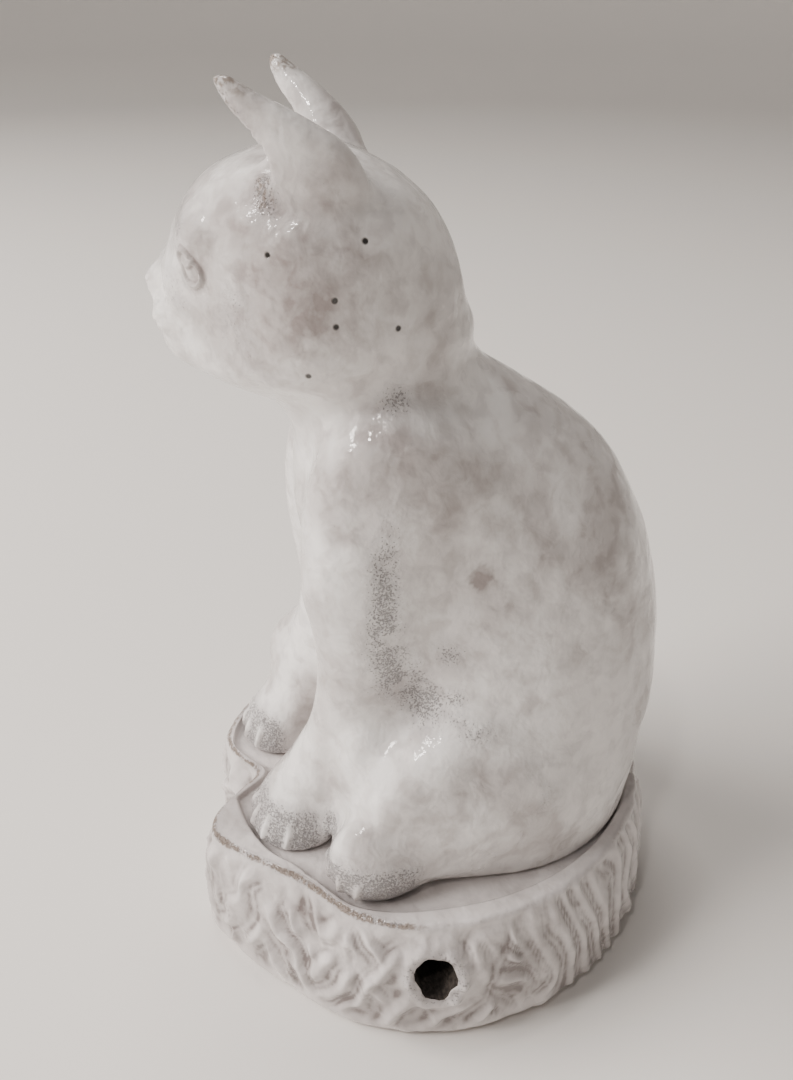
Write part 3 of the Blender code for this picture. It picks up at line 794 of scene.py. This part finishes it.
def rim_radius(degrees):
    """Distance from the drawing's centre to the deck's rim."""
    return (RIM_RADIUS + 5.0 * bump(degrees, 90.0, 45.0) + 4.0 * bump(degrees, -75.0, 8.0)
            - 6.0 * bump(degrees, -46.0, 15.0) - 15.0 * bump(degrees, -95.0, 10.0))


def side_radius(degrees, height):
    """Radius of the stump's side at a height: a belly below the rim, drawn in at the foot."""
    drop = np.minimum(1.0, (DECK_Z - height) / 26.0)
    flare = BELLY_FLARE * np.sin(drop * math.pi / 2.0)
    flare = flare * (1.0 - 0.9 * bump(degrees, STEEP_SIDE, 28.0))
    rounder = RIM_RADIUS + 0.45 * (rim_radius(degrees) - RIM_RADIUS)
    radius = rim_radius(degrees) * (1.0 - drop) + rounder * drop + flare
    return radius - 3.0 * max(0.0, 1.0 - height / 5.0) ** 2


def seat_radius(degrees):
    """Outline of the shallow seat, which follows the paws in front and the rump behind."""
    paws = (62.0 + 2.5 * bump(degrees, -26.0, 16.0) - 2.5 * bump(degrees, -50.0, 8.0)
            + 4.0 * bump(degrees, -119.0, 14.0) + 4.0 * bump(degrees, -148.0, 20.0))
    behind = paws + 9.0 * bump(degrees, 92.0, 52.0)
    return np.minimum(behind, rim_radius(degrees) - SEAT_MARGIN)


def stump_lattice():
    """Rings of points over the stump's outside, deck, seat and chamber, closed on itself."""
    degrees = 360.0 * np.arange(STUMP_COLUMNS) / STUMP_COLUMNS
    angle = np.radians(degrees)
    ways = np.stack((np.cos(angle), np.sin(angle), np.zeros(len(angle))), axis=1)

    def ring(radius, height):
        return ways * np.broadcast_to(radius, angle.shape)[:, None] + (0.0, 0.0, height)

    rings = [ring(side_radius(degrees, z), z)
             for z in np.linspace(0.0, DECK_Z - RIM_ROUND, SIDE_ROWS)]
    edge = side_radius(degrees, DECK_Z - RIM_ROUND)
    for turn in np.radians(np.linspace(18.0, 90.0, 5)):
        rings.append(ring(edge - RIM_ROUND * (1.0 - math.cos(turn)),
                          DECK_Z - RIM_ROUND * (1.0 - math.sin(turn))))
    seat = seat_radius(degrees)
    deck_edge = edge - RIM_ROUND
    step = np.minimum(seat + 0.9, deck_edge - 0.2)
    for share in np.linspace(0.0, 1.0, 10)[1:]:
        rings.append(ring(deck_edge + (step - deck_edge) * share, DECK_Z))
    rings += [ring(seat + 0.25, DECK_Z - 0.35), ring(seat, DECK_Z - 1.0),
              ring(seat - 0.2, DECK_Z - SEAT_DEPTH + 0.5)]
    seat_ring = ring(seat - 1.0, DECK_Z - SEAT_DEPTH)
    opening = ways * OPENING_RADIUS + OPENING_CENTRE
    for share in np.linspace(0.0, 1.0, 14):
        inner = opening + (0.0, 0.0, DECK_Z - SEAT_DEPTH)
        rings.append(seat_ring + (inner - seat_ring) * share)
    under = DECK_Z - DECK_THICKNESS
    rings.append(opening + (0.0, 0.0, under))
    wall = ways * (side_radius(degrees, under) - STUMP_WALL)[:, None]
    for share in (0.5, 1.0):
        rings.append(opening + (wall - opening) * share + (0.0, 0.0, under))
    for height in np.linspace(under, 0.0, 8)[1:]:
        rings.append(wall + (0.0, 0.0, height))
    return np.array(rings)


def bark_strokes(points, spacing, lean, wander, seed):
    """A family of wavering strokes: how far each point is from a stroke, 0 on it to 1."""
    round_way = np.arctan2(points[:, 1], points[:, 0]) * RIM_RADIUS
    waver = (wander * smooth_noise(points, 19.0, seed)
             + 0.35 * wander * smooth_noise(points, 7.5, seed + 1))
    phase = (round_way + lean * points[:, 2] + waver) / spacing
    return np.abs(phase - np.floor(phase) - 0.5) * 2.0


def bark_relief(points):
    """Height of the modelled bark on the stump's side, in mm, and painted shade in its grooves."""
    degrees = np.degrees(np.arctan2(points[:, 1], points[:, 0]))
    height = points[:, 2]
    barky = np.maximum(remap(degrees, 8.0, 24.0), remap(degrees, -112.0, -125.0))
    turned = remap(smooth_noise(points, 17.0, 63), -0.2, 0.2)
    broken = remap(smooth_noise(points, 9.0, 64), -0.7, 0.0)
    sparse = remap(smooth_noise(points, 10.0, 71), 0.0, 0.5)
    families = (
        (bark_strokes(points, 9.5, 0.75, 8.0, 11), turned * (1.0 - barky) * broken),
        (bark_strokes(points, 11.0, -0.65, 8.0, 21), (1.0 - turned) * (1.0 - barky) * broken),
        (bark_strokes(points, 6.8, 0.12, 4.5, 31), barky),
        (bark_strokes(points, 4.6, 0.35, 5.0, 61), 0.45 * sparse * (1.0 - barky)),
    )
    ridges = sum(weight * hill(away, 0.42) for away, weight in families)
    foot_lines = sum(weight * hill(away - 0.72, 0.16) for away, weight in families)

    from_hole = np.linalg.norm((points - HOLE_CENTRE) * (0.0, 1.0, 0.85), axis=1)
    from_hole = np.where(points[:, 0] > 40.0, from_hole, 99.0)
    foot = remap(height, 4.0, 9.0) * (1.0 - barky) + remap(height, 0.3, 2.5) * barky
    brow = remap(height, DECK_Z - 1.0, DECK_Z - 8.0) * (1.0 - barky) + barky * remap(
        height, DECK_Z + 0.5, DECK_Z - 2.5)
    amount = remap(from_hole, 8.0, 13.0) * foot * brow
    depth = (1.9 - 0.7 * barky) * (0.85 + 0.5 * smooth_noise(points, 22.0, 51))
    lumps = 0.7 * smooth_noise(points, 12.0, 52) + 0.35 * smooth_noise(points, 4.0, 53)
    collar = 1.5 * hill(from_hole - 8.2, 2.0) * (1.0 + 0.8 * smooth_noise(points, 3.0, 54))
    relief = (ridges - 0.4) * depth * amount + lumps * remap(height, 0.2, 3.0) + collar
    mottled = 0.7 + 0.5 * smooth_noise(points, 6.0, 55)
    # painted shade: grey along the foot of the ridges, in the grooves between them and at the lip
    # of the hole
    grey = amount * (1.2 * foot_lines + 0.4 * (1.0 - ridges)) * mottled
    return relief, np.clip(grey + 0.5 * hill(from_hole - 6.6, 1.0), 0.0, 1.0)


def hole_cutter():
    """An uneven bar through the stump's wall for the draught hole."""
    corners = []
    for step in range(HOLE_CORNERS):
        angle = 2.0 * math.pi * step / HOLE_CORNERS
        reach = (1.0 + 0.06 * math.cos(6.0 * angle + 0.8) + 0.05 * math.sin(3.0 * angle)
                 + 0.04 * math.cos(2.0 * angle + 0.5))
        corners.append((0.5 * HOLE_WIDTH * reach * math.cos(angle),
                        0.5 * HOLE_HEIGHT * reach * math.sin(angle)))
    bm = bmesh.new()
    ends = []
    for along in (-22.0, 22.0):
        ends.append([bm.verts.new(in_metres(HOLE_CENTRE + (along, across, up)))
                     for across, up in corners])
    for i in range(HOLE_CORNERS):
        following = (i + 1) % HOLE_CORNERS
        bm.faces.new((ends[0][i], ends[0][following], ends[1][following], ends[1][i]))
    bm.faces.new(ends[0][::-1])
    bm.faces.new(ends[1])
    bmesh.ops.recalc_face_normals(bm, faces=bm.faces)
    mesh = bpy.data.meshes.new("hole_bar")
    bm.to_mesh(mesh)
    bm.free()
    return add_object("hole_bar", mesh)


def make_stump(glaze_of_stump, inside_clay):
    rings = stump_lattice()
    rows, columns = rings.shape[:2]
    points = rings.reshape(-1, 3)
    index = np.arange(rows * columns).reshape(rows, columns)
    above = np.roll(index, -1, axis=0)
    faces = np.stack((index, np.roll(index, -1, axis=1), np.roll(above, -1, axis=1), above),
                     axis=-1).reshape(-1, 4)
    row = np.repeat(np.arange(rows), columns)
    side = remap(row - SIDE_ROWS, 3.0, -2.0)
    way = points * (1.0, 1.0, 0.0)
    way /= np.linalg.norm(way, axis=1, keepdims=True)
    relief, groove = bark_relief(points)
    on_deck = (row > SIDE_ROWS) & (row < SIDE_ROWS + DECK_ROWS)
    edge = hill(row - SIDE_ROWS - 2.0, 2.2)
    points = points + way * (relief * side)[:, None]
    points[:, :2] += way[:, :2] * (0.5 * smooth_noise(points, 7.0, 55) * edge)[:, None]
    lift = 0.30 * smooth_noise(points, 17.0, 56) + 0.12 * smooth_noise(points, 5.0, 57)
    points[:, 2] += lift * (on_deck | (edge > 0.3)) * remap(points[:, 2], 38.0, 41.0)
    skin = mesh_object("stump_skin", points, faces)
    # painted shade of the bark's grooves and of the hole's lip, on the side only
    paint(skin, "painted_shade_and_thin_glaze", groove * side)
    degrees = np.degrees(np.arctan2(points[:, 1], points[:, 0]))
    worn_front = 0.35 + 0.65 * remap(degrees, -8.0, -20.0) * remap(degrees, -160.0, -140.0)
    bead = hill(row - SIDE_ROWS - 2.0, 1.6) * worn_front
    paint(skin, "thin", bead * (1.1 + 0.5 * smooth_noise(points, 6.0, 58)))
    paint(skin, "speckle", np.maximum(0.8 * edge * worn_front, 0.6 * side * hill(
        np.linalg.norm((points - HOLE_CENTRE) * (0.3, 1.0, 1.0), axis=1) - 8.0, 2.5)))
    # painted shade: the rings inside the chamber are marked to turn near black
    paint(skin, "dark", (row > rows - CHAMBER_ROWS).astype(float))
    bar = hole_cutter()
    skin.data.materials.append(glaze_of_stump)
    bar.data.materials.append(inside_clay)
    modifier = skin.modifiers.new("draught_hole", "BOOLEAN")
    modifier.object = bar
    modifier.solver = "EXACT"
    modifier.material_mode = "TRANSFER"
    cut_mesh = bpy.data.meshes.new_from_object(
        skin.evaluated_get(bpy.context.evaluated_depsgraph_get()))
    skin.modifiers.clear()
    skin.data = cut_mesh
    bpy.data.objects.remove(bar, do_unlink=True)
    return skin


# ---- materials ----

class Nodes:
    """A new material, and short calls for building its node tree."""

    def __init__(self, name):
        self.material = bpy.data.materials.new(name)
        self.material.use_nodes = True
        self.tree = self.material.node_tree
        self.shader = self.tree.nodes["Principled BSDF"]
        self.place = self.make("ShaderNodeTexCoord").outputs["Object"]

    def make(self, kind, **settings):
        node = self.tree.nodes.new(kind)
        for setting, value in settings.items():
            setattr(node, setting, value)
        return node

    def feed(self, socket, value):
        if isinstance(value, bpy.types.NodeSocket):
            self.tree.links.new(value, socket)
        else:
            socket.default_value = value

    def math(self, operation, first, second):
        node = self.make("ShaderNodeMath", operation=operation)
        self.feed(node.inputs[0], first)
        self.feed(node.inputs[1], second)
        return node.outputs[0]

    def times(self, first, second):
        return self.math("MULTIPLY", first, second)

    def attribute(self, name):
        return self.make("ShaderNodeAttribute", attribute_name=name).outputs["Fac"]

    def noise(self, size_mm, detail=2.0, distortion=0.0, offset=0.0):
        """Noise from 0 to 1 whose features are about size_mm across."""
        shift = self.make("ShaderNodeVectorMath", operation="ADD")
        self.feed(shift.inputs[0], self.place)
        self.feed(shift.inputs[1], (offset, offset, offset))
        node = self.make("ShaderNodeTexNoise")
        for socket, value in (("Vector", shift.outputs[0]), ("Scale", 1.0 / (size_mm * MM)),
                              ("Detail", detail), ("Distortion", distortion)):
            self.feed(node.inputs[socket], value)
        return node.outputs["Fac"]

    def ramp(self, value, low, high, to_low=0.0, to_high=1.0):
        node = self.make("ShaderNodeMapRange", interpolation_type="SMOOTHSTEP")
        for socket, number in zip(node.inputs[:5], (value, low, high, to_low, to_high)):
            self.feed(socket, number)
        return node.outputs[0]

    def mix(self, factor, first, second):
        node = self.make("ShaderNodeMix", data_type="RGBA")
        self.feed(node.inputs["Factor"], factor)
        self.feed(node.inputs["A"], first)
        self.feed(node.inputs["B"], second)
        return node.outputs["Result"]

    def finish_surface(self, values):
        """Feed the shader's sockets by name."""
        for name, value in values.items():
            self.feed(self.shader.inputs[name], value)

    def bump(self, height, distance_mm, normal=None):
        node = self.make("ShaderNodeBump")
        node.inputs["Distance"].default_value = distance_mm * MM
        self.feed(node.inputs["Height"], height)
        if normal is not None:
            self.feed(node.inputs["Normal"], normal)
        return node.outputs["Normal"]


def pinhole_mask(nodes):
    """1 inside each of the few pinholes of the cat's glaze."""
    nearest = 1.0
    for pinhole in PINHOLES:
        distance = nodes.make("ShaderNodeVectorMath", operation="DISTANCE")
        nodes.feed(distance.inputs[0], nodes.place)
        nodes.feed(distance.inputs[1], tuple(in_metres(pinhole)))
        nearest = nodes.math("MINIMUM", distance.outputs["Value"], nearest)
    return nodes.ramp(nearest, 0.5 * MM, 1.05 * MM, 1.0, 0.0)


def glaze(name, white, grey, cloudiness, with_pinholes):
    """Thick white glaze, greyed where thin and by painted shade, speckled where it crawled."""
    nodes = Nodes(name)
    broad = nodes.ramp(nodes.noise(30.0, 3.0, 0.3), 0.40, 0.64)
    mottle = nodes.ramp(nodes.noise(6.0, 5.0, 0.4, 3.0), 0.42, 0.68)
    cloud = nodes.times(nodes.math("ADD", nodes.times(broad, 0.6), nodes.times(mottle, 0.32)),
                        cloudiness)
    # painted shade of hollows, creases and grooves, with the real thin patches of glaze, greys the
    # colour
    painted_shade_and_thin_glaze = nodes.times(nodes.attribute("painted_shade_and_thin_glaze"),
                       nodes.ramp(nodes.noise(3.0, 3.0), 0.3, 0.6, 0.45, 0.85))
    colour = nodes.mix(nodes.math("MINIMUM", nodes.math("ADD", cloud, painted_shade_and_thin_glaze), 1.0), white, grey)

    grain = nodes.noise(0.6, 3.0, 0.4, 7.0)
    threshold = nodes.ramp(nodes.attribute("speckle"), 0.0, 1.0, 0.76, 0.45)
    specks = nodes.ramp(nodes.math("SUBTRACT", grain, threshold), 0.0, 0.09)
    haze = nodes.times(nodes.attribute("speckle"),
                       nodes.ramp(nodes.noise(2.2, 3.0, 0.3, 17.0), 0.3, 0.7, 0.35, 0.9))
    colour = nodes.mix(haze, colour, SPECKLE_HAZE)
    colour = nodes.mix(nodes.times(specks, 0.62), colour, SPECK)

    wear = nodes.ramp(nodes.noise(1.4, 3.0, 0.5, 11.0), 0.3, 0.7, 0.35, 1.3)
    worn = nodes.ramp(nodes.times(nodes.attribute("thin"), wear), 0.25, 0.85)
    colour = nodes.mix(nodes.times(worn, 0.75), colour, WORN)
    # painted shade: the glaze inside the chamber turned near black
    colour = nodes.mix(nodes.times(nodes.attribute("dark"), 0.9), colour, PAINTED_CHAMBER_SHADE)
    pits = specks
    if with_pinholes:
        holes = pinhole_mask(nodes)
        colour = nodes.mix(holes, colour, PINHOLE)
        pits = nodes.math("MAXIMUM", specks, holes)

    ripple = nodes.bump(nodes.noise(6.5, 2.5, 0.3, 5.0), 0.75)
    skin = nodes.bump(nodes.times(nodes.noise(1.3, 2.0, 0.0, 9.0),
                                  nodes.ramp(nodes.attribute("speckle"), 0.0, 0.8, 0.15, 1.0)),
                      0.35, ripple)
    normal = nodes.bump(nodes.math("SUBTRACT", 1.0, pits), 0.22, skin)
    rough = nodes.math("ADD", nodes.ramp(nodes.noise(12.0, 2.0, 0.0, 13.0), 0.3, 0.7, 0.26, 0.36),
                       nodes.times(worn, 0.2))
    nodes.finish_surface({"Base Color": colour, "Normal": normal, "Roughness": rough,
                          "Coat Normal": normal, "Coat Weight": 1.0, "Coat Roughness": 0.035,
                          "Coat IOR": 1.5})
    return nodes.material


def raw_clay(name, ground, grog_colour):
    """Unglazed fired clay of the chamber, with grog and blotches of near-black painted shade."""
    nodes = Nodes(name)
    grog = nodes.ramp(nodes.noise(1.2, 3.0), 0.35, 0.7)
    colour = nodes.mix(grog, ground, grog_colour)
    darker_blotches = nodes.ramp(nodes.noise(22.0, 3.0, 0.5), 0.5, 0.75, 0.0, 0.6)
    nodes.finish_surface({"Base Color": nodes.mix(darker_blotches, colour, PAINTED_CHAMBER_SHADE), "Roughness": 0.9,
                          "Normal": nodes.bump(nodes.noise(0.9, 3.0), 0.3)})
    return nodes.material


# ---- stage ----

def make_camera():
    data = bpy.data.cameras.new("camera")
    data.lens = CAMERA_LENS
    data.clip_start = 0.01
    camera = add_object("camera", data)
    camera.location = CAMERA_PLACE
    camera.rotation_euler = (math.radians(90.0 + CAMERA_PITCH), 0.0,
                             math.radians(CAMERA_AZIMUTH))
    bpy.context.scene.camera = camera


def add_light(name, place, target, size, power, mirrored=True):
    """An area light; unmirrored, it leaves no hard patch in the glaze."""
    data = bpy.data.lights.new(name, "AREA")
    data.shape = "RECTANGLE"
    data.size, data.size_y = size
    data.energy = power
    data.color = LIGHT_COLOUR
    light = add_object(name, data)
    light.location = place
    light.rotation_euler = (Vector(target) - Vector(place)).to_track_quat("-Z", "Y").to_euler()
    light.visible_glossy = mirrored


def make_stage():
    """A pale floor that curves up all round, a dim room and soft warm lights."""
    points = [(0.0, 0.0, 0.0)]
    faces = []
    for radius, height in SWEEP:
        for step in range(SWEEP_SIDES):
            angle = 2.0 * math.pi * step / SWEEP_SIDES
            points.append((radius * math.cos(angle), radius * math.sin(angle), height))
    for step in range(SWEEP_SIDES):
        following = (step + 1) % SWEEP_SIDES
        faces.append((0, 1 + step, 1 + following))
        for row in range(len(SWEEP) - 1):
            low = 1 + row * SWEEP_SIDES
            high = low + SWEEP_SIDES
            faces.append((low + step, high + step, high + following, low + following))
    mesh = bpy.data.meshes.new("floor")
    mesh.from_pydata(points, [], faces)
    mesh.polygons.foreach_set("use_smooth", [True] * len(faces))
    floor = add_object("floor", mesh)
    paint_nodes = Nodes("floor_paint")
    paint_nodes.finish_surface({"Base Color": (0.80, 0.77, 0.74, 1.0), "Roughness": 0.7})
    mesh.materials.append(paint_nodes.material)
    world = bpy.data.worlds.new("studio")
    world.use_nodes = True
    background = world.node_tree.nodes["Background"]
    background.inputs["Color"].default_value = (0.62, 0.63, 0.65, 1.0)
    background.inputs["Strength"].default_value = 0.14
    bpy.context.scene.world = world
    add_light("window", (-0.25, -1.6, 1.15), (0.0, 0.0, 0.10), (1.6, 1.3), 76.0, mirrored=False)
    add_light("ceiling", (-0.45, -0.05, 1.6), (0.0, 0.0, 0.12), (0.5, 0.4), 8.5)
    add_light("panel", (0.15, -0.9, 1.0), (0.0, 0.0, 0.1), (0.22, 0.10), 3.0)
    add_light("lamp", (0.45, -0.35, 1.0), (0.0, 0.0, 0.1), (0.07, 0.05), 1.5)


# ---- assembly ----

def dress(piece, body, material):
    piece.data.materials.clear()
    piece.data.materials.append(material)
    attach(piece, body)


make_camera()
make_stage()

cat_glaze = glaze("cat_glaze", CAT_WHITE, CAT_GREY, 0.9, True)
stump_glaze = glaze("stump_glaze", STUMP_WHITE, STUMP_GREY, 0.5, False)
cat_body, cat_head, cat_lining = make_cat()
for piece in (cat_body, cat_head, cat_lining):
    dress(piece, "cat", cat_glaze)
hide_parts("cat_torso", "foreleg_left", "foreleg_right", "haunch_left",
            "haunch_right", "hind_paw_left", "hind_paw_right", "tail")
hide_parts("cat_head", "ear_left", "ear_right")

# painted shade: the chamber's clay is coloured near black, as the closed chamber lies in shade
clay_in_painted_shade = raw_clay("clay_in_painted_shade", (0.03, 0.025, 0.022, 1.0), (0.07, 0.058, 0.05, 1.0))
stump = make_stump(stump_glaze, clay_in_painted_shade)
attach(stump, "stump")
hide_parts("stump_wall", "stump_deck")
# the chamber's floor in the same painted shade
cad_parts["stump_floor"].material_slots[0].material = clay_in_painted_shade
